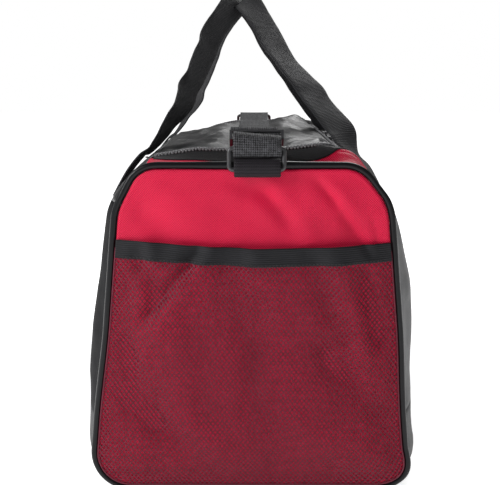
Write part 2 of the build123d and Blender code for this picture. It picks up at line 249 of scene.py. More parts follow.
def curve_through(controls, count):
    """A smooth curve through rows of numbers, evenly spaced by its first three columns."""
    points = np.asarray(controls, float)
    padded = np.vstack([2 * points[0] - points[1], points, 2 * points[-1] - points[-2]])
    fine = []
    for i in range(1, len(padded) - 2):
        a, b, c, d = padded[i - 1 : i + 3]
        for t in np.linspace(0, 1, 24, endpoint=False):
            fine.append(
                0.5 * (2 * b + (c - a) * t + (2 * a - 5 * b + 4 * c - d) * t**2
                       + (3 * b - a - 3 * c + d) * t**3)
            )
    fine.append(padded[-2])
    fine = np.array(fine)
    steps = np.r_[0, np.cumsum(np.linalg.norm(np.diff(fine[:, :3], axis=0), axis=1))]
    wanted = np.linspace(0, steps[-1], count)
    return np.stack([np.interp(wanted, steps, column) for column in fine.T], axis=1)


# ---- materials --------------------------------------------------------------------------------
class Nodes:
    """A Principled material whose maps are built from a few kinds of node."""

    def __init__(self, name, roughness, **constants):
        self.material = bpy.data.materials.new(name)
        self.material.use_nodes = True
        self.tree = self.material.node_tree
        self.shader = self.tree.nodes["Principled BSDF"]
        self.shader.inputs["Roughness"].default_value = roughness
        for socket, value in constants.items():
            self.shader.inputs[socket.replace("_", " ")].default_value = value
        self.height = None

    def new(self, kind, **settings):
        node = self.tree.nodes.new(kind)
        for name, value in settings.items():
            setattr(node, name, value)
        return node

    def link(self, source, target):
        self.tree.links.new(source, target)

    def math(self, operation, a, b=0.5):
        node = self.new("ShaderNodeMath", operation=operation)
        for socket, value in zip(node.inputs, (a, b)):
            if isinstance(value, (int, float)):
                socket.default_value = value
            else:
                self.link(value, socket)
        return node.outputs[0]

    def uv(self):
        source = self.new("ShaderNodeUVMap")
        split = self.new("ShaderNodeSeparateXYZ")
        self.link(source.outputs[0], split.inputs[0])
        return split.outputs[0], split.outputs[1]

    def place(self):
        return self.new("ShaderNodeTexCoord").outputs["Object"]

    def wave(self, coordinate, pitch):
        """A sine of a coordinate in metres whose pitch is in millimetres."""
        return self.math("SINE", self.math("MULTIPLY", coordinate, 2000 * math.pi / pitch))

    def cloud(self, size, detail=4.0, roughness=0.55, place=None):
        """Noise whose features are about size millimetres."""
        node = self.new("ShaderNodeTexNoise")
        node.inputs["Scale"].default_value = 1000 / size
        node.inputs["Detail"].default_value = detail
        node.inputs["Roughness"].default_value = roughness
        self.link(place or self.place(), node.inputs["Vector"])
        return node.outputs["Fac"]

    def ramp(self, factor, *stops):
        """Colours or greys at positions from 0 to 1."""
        node = self.new("ShaderNodeValToRGB")
        ramp = node.color_ramp
        while len(ramp.elements) < len(stops):
            ramp.elements.new(0.5)
        for element, (position, colour) in zip(ramp.elements, stops):
            element.position = position
            shade = (colour,) * 3 if isinstance(colour, float) else colour
            element.color = (*shade, 1)
        self.link(factor, node.inputs[0])
        return node.outputs[0]

    def mix(self, factor, a, b, blend="MIX"):
        node = self.new("ShaderNodeMix", data_type="RGBA", blend_type=blend)
        for socket, value in zip((node.inputs[0], node.inputs[6], node.inputs[7]), (factor, a, b)):
            if isinstance(value, tuple):
                socket.default_value = (*value, 1)
            elif isinstance(value, float):
                socket.default_value = value
            else:
                self.link(value, socket)
        return node.outputs[2]

    def colour(self, source):
        self.link(source, self.shader.inputs["Base Color"])

    def roughness(self, source, low, high):
        node = self.new("ShaderNodeMapRange")
        node.inputs["To Min"].default_value = low
        node.inputs["To Max"].default_value = high
        self.link(source, node.inputs["Value"])
        self.link(node.outputs[0], self.shader.inputs["Roughness"])

    def bump(self, height, distance, strength=1.0):
        """Relief on top of any that is there already; distance is in millimetres."""
        node = self.new("ShaderNodeBump")
        node.inputs["Distance"].default_value = distance * 0.001
        node.inputs["Strength"].default_value = strength
        self.link(height, node.inputs["Height"])
        if self.height is not None:
            self.link(self.height, node.inputs["Normal"])
        self.height = node.outputs[0]
        self.link(self.height, self.shader.inputs["Normal"])


def shades(colour, low, high):
    return tuple(c * low for c in colour), tuple(min(1.0, c * high) for c in colour)


def woven(name, colour, thread=1.3, gloss=0.6, sheen=0.25, relief=0.12, contrast=0.16, coat=0.0, level=0.3):
    """Coated plain-weave cloth: a checker of threads, a soft cloudiness and fine lint."""
    m = Nodes(name, gloss, Sheen_Weight=sheen, Sheen_Roughness=0.4, Coat_Weight=coat, Coat_Roughness=0.35,
              Specular_IOR_Level=level)
    u, v = m.uv()
    checker = m.math("MULTIPLY", m.wave(u, 2 * thread), m.wave(v, 2 * thread))
    threads = m.math("MULTIPLY_ADD", checker, 0.5)
    threads.node.inputs[2].default_value = 0.5
    dark, light = shades(colour, 1 - contrast, 1 + contrast)
    cloth = m.ramp(threads, (0.15, dark), (0.85, light))
    cloud = m.cloud(55.0, 5.0)
    worn = m.ramp(cloud, (0.3, 0.86), (0.7, 1.0))
    m.colour(m.mix(1.0, cloth, worn, "MULTIPLY"))
    m.roughness(m.cloud(18.0), gloss - 0.08, gloss + 0.1)
    m.bump(threads, relief)
    m.bump(cloud, 1.2, 0.5)
    return m.material


def webbing(name, colour, rib=1.9, across=1.5, gloss=0.62, relief=0.35, coarse=False):
    """Heavy webbing: ribs across its width broken by its warp, or a coarse diagonal weave."""
    m = Nodes(name, gloss, Sheen_Weight=0.02, Sheen_Roughness=0.45, Specular_IOR_Level=0.24)
    u, v = m.uv()
    if coarse:
        one = m.wave(m.math("ADD", u, v), rib)
        other = m.wave(m.math("SUBTRACT", u, v), rib)
        speck = m.math("SUBTRACT", m.cloud(3.4, 2.0), 0.5)
        pattern = m.math("ADD", m.math("MULTIPLY", one, other), m.math("MULTIPLY", speck, 3.0))
    else:
        step = m.math("MULTIPLY", m.wave(u, 2 * across), 0.0003)
        pattern = m.wave(m.math("ADD", v, step), rib)
    threads = m.math("MULTIPLY_ADD", pattern, 0.5)
    threads.node.inputs[2].default_value = 0.5
    dark, light = shades(colour, *((0.12, 3.6) if coarse else (0.5, 1.6)))
    cloth = m.ramp(threads, (0.1, dark), (0.9, light))
    fuzz = m.ramp(m.cloud(9.0), (0.3, 0.8), (0.75, 1.0))
    m.colour(m.mix(1.0, cloth, fuzz, "MULTIPLY"))
    m.roughness(m.cloud(14.0), gloss - 0.1, gloss + 0.12)
    m.bump(threads, relief)
    return m.material


def moulded(name, colour, gloss=0.35, metallic=0.0, coat=0.2, level=0.5):
    """Moulded plastic or enamel with fine orange peel, scuffs and paler worn patches."""
    m = Nodes(name, gloss, Metallic=metallic, Coat_Weight=coat, Coat_Roughness=0.25, Specular_IOR_Level=level)
    dark, light = shades(colour, 0.85, 1.3)
    m.colour(m.ramp(m.cloud(7.0), (0.35, dark), (0.75, light)))
    m.roughness(m.cloud(3.0), gloss - 0.08, gloss + 0.18)
    m.bump(m.cloud(1.6, 2.0), 0.06)
    return m.material


RED = (0.60, 0.003, 0.044)
red_cloth = woven("red_cloth", RED, thread=1.25, gloss=0.5, sheen=0.0, level=0.26, relief=0.4, contrast=0.36)
black_cloth = woven("black_cloth", (0.006, 0.006, 0.007), thread=1.25, gloss=0.34, sheen=0.0, level=0.5,
                    relief=0.2)
side_cloth = woven("side_cloth", (0.008, 0.008, 0.009), thread=1.25, gloss=0.7, sheen=0.0, level=0.1)
grey_cloth = woven("grey_cloth", (0.026, 0.026, 0.028), thread=1.25, gloss=0.45, sheen=0.0, coat=0.03,
                   level=0.15)
boot_cloth = woven("boot_cloth", (0.008, 0.008, 0.009), thread=1.2, gloss=0.5, sheen=0.0, relief=0.2)
hem_elastic = webbing("hem_elastic", (0.010, 0.010, 0.012), rib=2.2, across=40.0, gloss=0.7, relief=0.3)
strap_web = webbing("strap_web", (0.021, 0.021, 0.023), rib=4.6, relief=0.9, coarse=True)
handle_web = webbing("handle_web", (0.019, 0.019, 0.021), rib=2.4, across=1.4, relief=0.4)
tab_web = webbing("tab_web", (0.010, 0.008, 0.011), rib=3.0, across=1.2, relief=0.5)
tape_cloth = webbing("tape_cloth", (0.013, 0.013, 0.014), rib=1.1, across=0.9, relief=0.15)
piping_vinyl = moulded("piping_vinyl", (0.003, 0.003, 0.004), gloss=0.28, coat=0.0, level=0.22)
coil_plastic = moulded("coil_plastic", (0.120, 0.120, 0.126), gloss=0.3)
enamel = moulded("enamel", (0.040, 0.040, 0.043), gloss=0.34, metallic=0.3)
board_plastic = moulded("board_plastic", (0.03, 0.03, 0.032), gloss=0.6, coat=0.0)
net_yarn = moulded("net_yarn", (0.110, 0.011, 0.024), gloss=0.5, coat=0.0, level=0.25)
thread_black = moulded("thread_black", (0.02, 0.02, 0.022), gloss=0.5, coat=0.0)


# ---- body shell -------------------------------------------------------------------------------
def section_at(y):
    """The body's cross-section at a station: full in the middle, drawn in at the end seams."""
    t = max(0.0, (abs(y) - FULL_Y) / (SEAM_Y - FULL_Y))
    full = 1 - t**2.2
    blend = {}
    for key in ("points", "radii"):
        a, b = np.array(SEAM[key], float), np.array(FULL[key], float)
        blend[key] = a + (b - a) * full
    return blend


def right_half(y):
    """Dense outline of the right half at a station, from the middle of the base to the middle of the top."""
    path = section_outline(section_at(y), spacing=1.5)
    turn = int(np.argmax(path[:, 1] >= path[:, 1].max() - 1e-6))
    half = path[: turn + 1]
    half = half[half[:, 0] >= 0]
    return np.vstack([(0, half[0, 1]), half, (0, half[-1, 1])])


def wrinkle(points):
    """How far the body's cloth stands off its plain section, in millimetres."""
    p = np.asarray(points, float)
    soft = 2.4 * rough(p * (1, 0.7, 1), 95, 1) + 1.0 * rough(p, 38, 2)
    from_seam = SEAM_Y - np.abs(p[..., 1])
    pucker = rough(p * (1, 0.12, 1), 13, 3) * np.exp(-from_seam / 34) * np.minimum(1, from_seam / 6)
    side = np.exp(-(((p[..., 2] - 190) / 95) ** 2))
    crease = rough(p * (1, 1.3, 0.35), 42, 5) * side
    belly = 188 + 18 * np.sign(p[..., 0])
    bulge = (12.5 + 3 * np.sign(p[..., 0])) * np.exp(-(((p[..., 2] - belly) / 102) ** 2))
    bulge = bulge * smooth(0, 84, from_seam)
    bulge *= 1 - smooth(282, 338, p[..., 2])
    calm = 1 - 0.85 * smooth(335, 360, p[..., 2])
    return ((soft + 1.6 * crease) * smooth(0, 45, from_seam) + 1.5 * pucker) * calm + bulge


def lift(x, y):
    """How far the zipped edge at each end stands up above the plain top, less where the strap crosses it."""
    along_edge = np.interp(x, (-109, -60, -22, 0, 14, 36, 80, 112, 150), (0, 8, 7, 3, 3, 8, 13, 8, 2))
    y = np.abs(y)
    outside = np.interp(y, (ZIP_Y, ZIP_Y + TAPE_REACH, ZIP_Y + 34), (1, 0.25, 0))
    run = np.interp(x, (70, 98), (66, 22))          # shorter where the sliders run
    inside = smooth(ZIP_Y - run, ZIP_Y - 8, y)
    slack = np.interp(x, (-112, -90, -20, 90, 125), (0.0, 2.5, 6.0, 6.0, 1.5))
    dip = slack * smooth(ZIP_Y, ZIP_Y + TAPE_REACH, y) * (1 - smooth(ZIP_Y + 44, SEAM_Y - 3, y))
    return along_edge * np.where(y > ZIP_Y, outside, inside) - dip


def stand_off(points, outward):
    """Move points along their outward directions by the cloth's wrinkles, but never under the floor."""
    moved = points + outward * wrinkle(points)[..., None]
    moved[..., 2] += lift(moved[..., 0], moved[..., 1]) * smooth(330, 358, points[..., 2])
    moved[..., 2] = np.maximum(moved[..., 2], 0.4)
    return moved


def body_strip(stations, low, high, count, side=1):
    """A patch of the body between two places on its right half, each a height or ('top', x).

    low and high may be functions of the station. Returns points, outward directions and UVs.
    """
    rows, outs, uvs = [], [], []
    for y in stations:
        path = right_half(y)
        steps = np.r_[0, np.cumsum(np.linalg.norm(np.diff(path, axis=0), axis=1))]
        ends = []
        for mark in (low, high):
            mark = mark(y) if callable(mark) else mark
            if isinstance(mark, tuple):
                upper = path[:, 1] > LEFT_SHOULDER_Z
                ends.append(np.interp(-mark[1], -path[upper, 0], steps[upper]))
            else:
                ends.append(np.interp(mark, path[:, 1], steps))
        wanted = np.linspace(*ends, count)
        x = np.interp(wanted, steps, path[:, 0])
        z = np.interp(wanted, steps, path[:, 1])
        ahead = np.stack([np.interp(wanted + 1, steps, c) for c in path.T], axis=1)
        behind = np.stack([np.interp(wanted - 1, steps, c) for c in path.T], axis=1)
        run = ahead - behind
        run /= np.maximum(np.linalg.norm(run, axis=1, keepdims=True), 1e-6)
        rows.append(np.stack([side * x, np.full(count, y), z], axis=1))
        outs.append(np.stack([side * run[:, 1], np.zeros(count), -run[:, 0]], axis=1))
        uvs.append(np.stack([np.full(count, y), wanted], axis=1))
    return np.array(rows), np.array(outs), np.array(uvs)


def spaced(low, high, step):
    return np.linspace(low, high, max(2, int(round((high - low) / step)) + 1))


def end_dense(limit, step=6.0):
    """Stations from -limit to +limit, closer together near the end seams."""
    middle = spaced(-FULL_Y + 20, FULL_Y - 20, step)
    if limit <= FULL_Y - 20:
        return spaced(-limit, limit, step)
    tail = spaced(FULL_Y - 20, limit, 2.5)[1:]
    return np.r_[-tail[::-1], middle, tail]


def shell_piece(name, strip, material, nodes, turn=False, thickness=1.8):
    points, outward, uv = strip
    placed = stand_off(points, outward)
    faces = grid_faces(*points.shape[:2])
    made = piece(name, placed, flipped(faces) if turn else faces, material, "bag", uv)
    thicken(made, thickness)
    if nodes:
        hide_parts(*nodes)
    return made


stations = end_dense(SEAM_Y)
inner = end_dense(ZIP_Y + 4)


def mouth_edge(grow):
    """Where the zipped side of the mouth lies at a station, as a mark for body_strip."""
    def mark(y):
        past = max(0.0, abs(y) - (ZIP_Y - ZIP_R))
        radius = ZIP_R + grow
        return ("top", ZIP_X - ZIP_R + math.sqrt(max(0.0, radius**2 - min(past, radius) ** 2)))
    return mark


def build_body():
    left = body_strip(stations, 0.0, BOOT_Z, 34, -1)
    right = body_strip(stations, 0.0, BOOT_Z, 34, 1)
    boot = tuple(np.concatenate([l[:, ::-1], r[:, 1:]], axis=1) for l, r in zip(left, right))
    boot[2][:, : left[2].shape[1], 1] *= -1
    shell_piece("boot", boot, boot_cloth, ["base_panel"], True, 2.6)
    shell_piece("side_left", body_strip(stations, BOOT_Z, LEFT_SHOULDER_Z, 50, -1), side_cloth,
                ["side_panel_left"])
    shell_piece("side_right", body_strip(stations, BOOT_Z, RIGHT_SHOULDER_Z, 46, 1), grey_cloth,
                ["side_panel_right"], True)
    shell_piece("shoulder_left", body_strip(stations, LEFT_SHOULDER_Z, ("top", -HINGE_X), 16, -1),
                black_cloth, ["shoulder_panel_left"])
    shell_piece("shoulder_right", body_strip(inner, RIGHT_SHOULDER_Z, mouth_edge(3.0), 20, 1),
                red_cloth, ["shoulder_panel_right"], True)
    end = spaced(ZIP_Y + 4, SEAM_Y, 2.5)
    for name, rows in (("near", -end[::-1]), ("far", end)):
        left = body_strip(rows, ("top", -HINGE_X), ("top", 0.0), 34, -1)
        right = body_strip(rows, RIGHT_SHOULDER_Z, ("top", 0.0), 50, 1)
        across = tuple(np.concatenate([l, r[:, -2::-1]], axis=1) for l, r in zip(left, right))
        shell_piece(f"gusset_{name}", across, red_cloth, [f"top_gusset_{name}"])


build_body()


# ---- end panels -------------------------------------------------------------------------------
SEAM_LINE = along(section_outline(SEAM), 900)
MESH_STAND = 8.0
# Each fold: where its line starts and ends as (x, z), its width, and its height over the cloth.
PANEL_FOLDS = (
    ((-2, 352), (32, 308), 9.0, -4.0),
    ((22, 350), (52, 300), 10.0, 1.6),
    ((66, 350), (86, 322), 5.0, -3.6),
    ((-30, 352), (6, 330), 9.0, -3.0),
    ((80, 346), (104, 316), 8.0, 2.0),
    ((96, 306), (122, 270), 6.0, -3.6),
    ((128, 300), (136, 270), 5.0, -2.6),
    ((-126, 322), (-98, 286), 12.0, -2.2),
    ((-100, 340), (-60, 300), 16.0, 1.8),
)
MESH_FOLDS = (
    ((-62, 268), (-112, 205), 7.0, -6.5),
    ((-44, 266), (-100, 188), 10.0, 4.0),
    ((-112, 262), (-126, 214), 8.0, 3.0),
    ((-30, 250), (10, 120), 22.0, -4.0),
    ((4, 262), (20, 214), 12.0, 3.0),
    ((56, 264), (90, 180), 16.0, -5.0),
    ((92, 250), (122, 160), 12.0, 4.4),
    ((118, 246), (132, 196), 7.0, -3.0),
    ((-136, 150), (-60, 40), 18.0, -4.0),
    ((-112, 100), (-60, 70), 14.0, 3.0),
    ((20, 120), (100, 40), 22.0, 3.4),
    ((-90, 120), (-30, 30), 16.0, 3.0),
    ((60, 150), (128, 100), 15.0, -3.4),
    ((-120, 262), (-108, 232), 12.0, -7.0),
    ((-138, 172), (-132, 150), 10.0, -7.0),
    ((-144, 116), (-108, 86), 15.0, -7.5),
    ((118, 228), (134, 176), 12.0, -7.5),
    ((76, 160), (100, 136), 13.0, -7.0),
)


def from_edge(x, z):
    """Distance from the end seam, in millimetres, of points inside it."""
    place = np.stack([np.ravel(x), np.ravel(z)], axis=1).astype(float)
    nearest = np.full(len(place), 1e9)
    for start in range(0, len(SEAM_LINE), 40):
        block = SEAM_LINE[start : start + 40]
        gap = np.linalg.norm(place[:, None] - block[None], axis=2).min(axis=1)
        nearest = np.minimum(nearest, gap)
    return nearest.reshape(np.shape(x))


def folds(x, z, lines):
    """Soft ridges and valleys that run along lines, each with a width and a height."""
    total = np.zeros(np.shape(x))
    for (x0, z0), (x1, z1), width, height in lines:
        run = math.hypot(x1 - x0, z1 - z0)
        ux, uz = (x1 - x0) / run, (z1 - z0) / run
        t = (x - x0) * ux + (z - z0) * uz
        across = (x - x0) * uz - (z - z0) * ux
        beyond = np.maximum(0, np.maximum(-t, t - run))
        total += height * np.exp(-((across / width) ** 2) - (beyond / (1.6 * width)) ** 2)
    return total


def panel_out(x, z, edge):
    """How far out the end panel's face lies."""
    place = np.stack([x, np.zeros_like(x), z], axis=-1)
    soft = 2.2 * rough(place * (1.3, 1, 0.5), 48, 11) + 0.9 * rough(place, 21, 12)
    swell = 4.5 * smooth(-10, 80, edge)
    return PANEL_Y - 1.0 + swell + (soft + folds(x, z, PANEL_FOLDS)) * smooth(0, 26, edge)


def mesh_out(x, z, edge):
    """How far out the pocket's net lies over the panel."""
    place = np.stack([x, np.zeros_like(x), z], axis=-1)
    soft = 2.6 * rough(place * (1, 1, 0.6), 60, 21) + 1.7 * rough(place * (1.4, 1, 0.7), 24, 22)
    stand = 2.4 + MESH_STAND * smooth(-4, 46, edge)
    ripple = (soft + folds(x, z, MESH_FOLDS)) * smooth(2, 34, edge)
    return panel_out(x, z, edge) + np.maximum(stand + ripple, 2.7)


def build_end_panels():
    centre = np.array((0.0, 185.0))
    rings = np.r_[np.linspace(0, 0.2, 12), np.linspace(0.2, 0.985, 42)[1:]]
    rim = along(section_outline(SEAM, -0.6), 361)[:-1]
    flat = centre + (rim[None] - centre) * (1 - rings[:, None, None])
    x, z = flat[..., 0], flat[..., 1]
    out = panel_out(x, z, from_edge(x, z))
    points = np.stack([x, -out, z], axis=-1)
    faces = grid_faces(*x.shape, close_columns=True)
    last = (len(rings) - 1) * len(rim)
    faces.append(tuple(last + k for k in range(len(rim))))
    uv = np.stack([x, z], axis=-1)
    both_ends("end_cloth", points, flipped(faces), red_cloth, "bag", "end_panel", uv, 1.6)


build_end_panels()


def tube(path, radius, sides=12, side_way=(0, 1, 0), squeeze=1.0, closed=True):
    """Rings of points round a path, with faces and UVs along and round it."""
    path = np.asarray(path, float)
    if closed:
        ahead = np.roll(path, -1, axis=0) - np.roll(path, 1, axis=0)
    else:
        ahead = np.gradient(path, axis=0)
    ahead /= np.linalg.norm(ahead, axis=1, keepdims=True)
    other = np.cross(ahead, side_way)
    other /= np.linalg.norm(other, axis=1, keepdims=True)
    third = np.cross(other, ahead)
    turn = np.linspace(0, 2 * math.pi, sides, endpoint=False)
    spokes = other[:, None] * np.cos(turn)[None, :, None] * squeeze
    spokes = spokes + third[:, None] * np.sin(turn)[None, :, None]
    radius = np.broadcast_to(radius, len(path))
    points = path[:, None] + spokes * radius[:, None, None]
    travelled = np.r_[0, np.cumsum(np.linalg.norm(np.diff(path, axis=0), axis=1))]
    uv = np.stack(np.meshgrid(travelled, turn * radius.mean(), indexing="ij"), axis=-1)
    faces = grid_faces(len(path), sides, closed, True)
    if not closed:
        end = (len(path) - 1) * sides
        faces += [tuple(range(sides))[::-1], tuple(end + k for k in range(sides))]
    return points, faces, uv


PIPING_R = 3.5
PIPING_GROW = 3.9
PIPING_Y = 381.7


def build_piping():
    rim = along(section_outline(SEAM, PIPING_GROW, 1.5), 521)[:-1]
    path = np.stack([rim[:, 0], np.full(len(rim), -PIPING_Y), rim[:, 1]], axis=1)
    wander = rough(path, 70, 31)
    path[:, 1] += 0.5 * wander
    radius = PIPING_R + 0.18 * rough(path, 22, 32)
    radius = radius + 1.1 * np.exp(-(((path[:, 0] - STRAP_X) / 52) ** 2)) * smooth(350, 358, path[:, 2])
    points, faces, uv = tube(path, radius)
    points[..., 2] = np.maximum(points[..., 2], 0.3)
    both_ends("piping_tube", points, faces, piping_vinyl, "bag", "piping", uv)


build_piping()


def dashes(line, outward, length, gap, radius, lift_by=0.3, sides=5):
    """Stitches along a line of points: short rounded threads that dip into the cloth at their ends."""
    line = np.asarray(line, float)
    steps = np.r_[0, np.cumsum(np.linalg.norm(np.diff(line, axis=0), axis=1))]
    points, faces = [], []
    for start in np.arange(gap, steps[-1] - length, length + gap):
        t = start + length * np.array((0, 0.2, 0.5, 0.8, 1.0))
        centre = np.stack([np.interp(t, steps, c) for c in line.T], axis=1)
        up = np.stack([np.interp(t, steps, c) for c in np.asarray(outward, float).T], axis=1)
        rise = np.array((-0.6, 0.3, 0.55, 0.3, -0.6))[:, None] * radius + lift_by
        centre = centre + up * rise
        width = radius * np.array((0.45, 0.95, 1.0, 0.95, 0.45))
        ring, quads, _ = tube(centre, width, sides, up.mean(axis=0), closed=False)
        faces += [tuple(v + len(points) for v in f) for f in quads]
        points += ring.reshape(-1, 3).tolist()
    return points, faces


# ---- mesh pockets -----------------------------------------------------------------------------
NET_STEP_X = 2.5
NET_STEP_Z = 3.2
NET_HOLE = 0.70
HEM_HEIGHT = 20.0
STITCH_INSET = 2.2


def hem_top(x):
    """Height of the sagging top edge of the pocket."""
    return np.interp(x, (-150, -110, -60, 0, 60, 110, 150), (283, 281.3, 277.6, 275, 275.6, 277.6, 279.4))


def seam_reach(z, inset):
    """Half width of the end panel at a height."""
    rim = section_outline(SEAM, -inset)
    right = rim[: int(np.argmax(rim[:, 1])) + 1]
    return np.interp(z, right[:, 1], right[:, 0])


def build_net():
    """A knitted diamond net: each cell a frame of four ridged strands round an open diamond."""
    knots, points, uv, faces = {}, [], [], []

    def vertex(x, z, ridge):
        points.append((x, z, ridge))
        uv.append((x, z))
        return len(points) - 1

    reach = 200
    columns, rows = int(reach / NET_STEP_X), int(330 / NET_STEP_Z)
    centres = [
        (c * NET_STEP_X, r * NET_STEP_Z, c, r)
        for r in range(1, rows) for c in range(-columns, columns) if (r + c) % 2 == 0
    ]
    centres = np.array(centres)
    inside = from_edge(centres[:, 0], centres[:, 1])
    within = np.abs(centres[:, 0]) < seam_reach(centres[:, 1], 0)
    low_enough = centres[:, 1] < hem_top(centres[:, 0]) - 8
    keep = within & (inside > 1.8) & low_enough & (centres[:, 1] > 9)
    for x, z, c, r in centres[keep]:
        c, r = int(c), int(r)
        frame_ids, hole_ids = [], []
        for dc, dr in ((1, 0), (0, 1), (-1, 0), (0, -1)):
            key = (c + dc, r + dr)
            if key not in knots:
                knots[key] = vertex(key[0] * NET_STEP_X, key[1] * NET_STEP_Z, 0.35)
            frame_ids.append(knots[key])
            hole = NET_HOLE * (1.08 if dc else 0.94)
            hole_ids.append(vertex(x + dc * NET_STEP_X * hole, z + dr * NET_STEP_Z * hole, 0.0))
        for k in range(4):
            n = (k + 1) % 4
            faces.append((frame_ids[k], frame_ids[n], hole_ids[n], hole_ids[k]))
    points = np.array(points)
    rim = along(section_outline(SEAM, 0.4), 421)[:-1]
    inner_rim = along(section_outline(SEAM, -1.4), 421)[:-1]
    low = (rim[:, 1] < hem_top(rim[:, 0]) - 6)
    first = len(points)
    band = np.stack([rim, (rim + inner_rim) / 2, inner_rim], axis=1)
    ridge = np.broadcast_to(np.array((0.1, 0.6, 0.5))[None, :, None], (*band.shape[:2], 1))
    points = np.vstack([points, np.concatenate([band, ridge], axis=2).reshape(-1, 3)])
    uv += band.reshape(-1, 2).tolist()
    for k in range(len(rim)):
        n = (k + 1) % len(rim)
        if low[k] and low[n]:
            for j in (0, 1):
                a, b = first + 3 * k + j, first + 3 * n + j
                faces.append((a, b, b + 1, a + 1))
    x, z = points[:, 0], points[:, 1]
    out = mesh_out(x, z, from_edge(x, z)) + points[:, 2]
    placed = np.stack([x, -out, z], axis=1)
    return placed, faces, np.array(uv)


def build_pockets():
    points, faces, uv = build_net()
    used = np.unique([v for f in faces for v in f])
    renumber = np.full(len(points), -1)
    renumber[used] = np.arange(len(used))
    faces = [tuple(int(renumber[v]) for v in f) for f in faces]
    nets = both_ends("pocket_net", points[used], faces, net_yarn, "bag", "mesh_pocket", uv[used],
                     0.55)

    across = np.linspace(-1, 1, 181)
    down = np.r_[0.0, 0.04, np.linspace(0.1, 0.9, 9), 0.96, 1.0]
    s, t = np.meshgrid(across, down, indexing="ij")
    z = hem_top(s * 148) - t * HEM_HEIGHT
    x = s * seam_reach(z, 0.4)
    edge = from_edge(x, z)
    round_over = 0.9 * np.minimum(1, np.minimum(t, 1 - t) * 14)
    out = mesh_out(x, z, edge) + 0.6 + round_over + 0.35 * rough(np.stack([x, s * 0, z], -1), 17, 41)
    points = np.stack([x, -out, z], axis=-1)
    uv = np.stack([x, z - hem_top(x)], axis=-1)
    faces = grid_faces(*x.shape)
    hems = both_ends("pocket_hem", points, faces, hem_elastic, "bag", "mesh_pocket_hem", uv, 1.6)
    sx = np.linspace(-140, 140, 281)
    sz = hem_top(sx) - HEM_HEIGHT + STITCH_INSET
    y = -(mesh_out(sx, sz, from_edge(sx, sz)) + 1.5)
    line = np.stack([sx, y, sz], axis=1)
    stitches, quads = dashes(line, np.tile((0, -1.0, 0), (len(line), 1)), 2.6, 1.3, 0.32)
    sewn = both_ends("hem_stitches", stitches, quads, thread_black, "bag", None)
    return nets, hems, sewn


nets, hems, hem_stitches = build_pockets()


# ---- lid and zip ------------------------------------------------------------------------------
LID_LEFT = -109.0
LID_FACE = corner("lid_panel", 1, 2)
STRAP_HALF = 25.0


def lid_height(x, y):
    """Top of the lid's wrinkled, puffed cloth; the strap across it holds it down."""
    place = np.stack([x, y, np.zeros_like(x)], axis=-1)
    inside = np.minimum(np.minimum(x - LID_LEFT, ZIP_X - 2 - x), ZIP_Y - 2 - np.abs(y))
    corner_x = np.maximum(0, x - (ZIP_X - ZIP_R))
    corner_y = np.maximum(0, np.abs(y) - (ZIP_Y - ZIP_R))
    inside = np.minimum(inside, ZIP_R - np.hypot(corner_x, corner_y) + 1000 * (corner_x * corner_y == 0))
    inside = np.maximum(inside, 0)
    puff = 9.5 * smooth(0, 75, inside) + 2.0 * smooth(0, 12, inside)
    lines = 3.0 * rough(place * (0.45, 1.6, 1), 34, 51) - 6.0 * np.abs(rough(place * (1.2, 0.6, 1), 42, 52))
    fine = 1.8 * rough(place * (1.0, 1.0, 1), 15, 53)
    under = 1 - 0.75 * np.exp(-(((x - STRAP_X) / 34) ** 4))
    mound = 6.0 * np.exp(-(((x - 66) / 34) ** 2) - ((np.abs(y) - 225) / 70) ** 2)
    mound += 5.0 * np.exp(-(((x - 84) / 16) ** 2) - ((np.abs(y) - 282) / 12) ** 2)
    return LID_FACE + lift(x, y) + ((puff + mound) + (lines + fine) * smooth(0, 25, inside)) * under


def lid_right(y):
    past = np.maximum(0, np.abs(y) - (ZIP_Y - ZIP_R))
    return ZIP_X - ZIP_R + np.sqrt(np.maximum(0, ZIP_R**2 - past**2))


def build_lid():
    across = np.linspace(0, 1, 76)
    rows = np.sin(np.linspace(-math.pi / 2, math.pi / 2, 61)) * 0.35 + np.linspace(-1, 1, 61) * 0.65
    y = rows[:, None] * (ZIP_Y - 1.2) + 0 * across[None]
    x = LID_LEFT + (lid_right(y) - 1.6 - LID_LEFT) * across[None]
    z = lid_height(x, y)
    points = np.stack([x, y, z], axis=-1)
    lid = piece("lid_cloth", points, grid_faces(*x.shape), black_cloth, "lid", np.stack([x, y], -1))
    lid.data.flip_normals()
    thicken(lid, 1.8)
    soften = lid.modifiers.new("soften", "SUBSURF")
    soften.levels = soften.render_levels = 1
    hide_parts("lid_panel")


build_lid()


def zip_line(offset=0.0, spacing=2.0):
    """Plan of the zip from its near left end round to its far left end, moved outward by offset."""
    radius = ZIP_R + offset
    cx, cy = ZIP_X - ZIP_R, ZIP_Y - ZIP_R
    turn = np.linspace(0, math.pi / 2, 24)
    path = [(LID_LEFT + 1.5, -(ZIP_Y + offset))]
    path += [(cx + radius * math.sin(a), -cy - radius * math.cos(a)) for a in turn]
    path += [(cx + radius * math.cos(a), cy + radius * math.sin(a)) for a in turn]
    path += [(LID_LEFT + 1.5, ZIP_Y + offset)]
    path = np.array(path)
    length = np.linalg.norm(np.diff(path, axis=0), axis=1).sum()
    return along(path, int(length / spacing))


def zip_height(x, y):
    return 362.0 + lift(x, y)


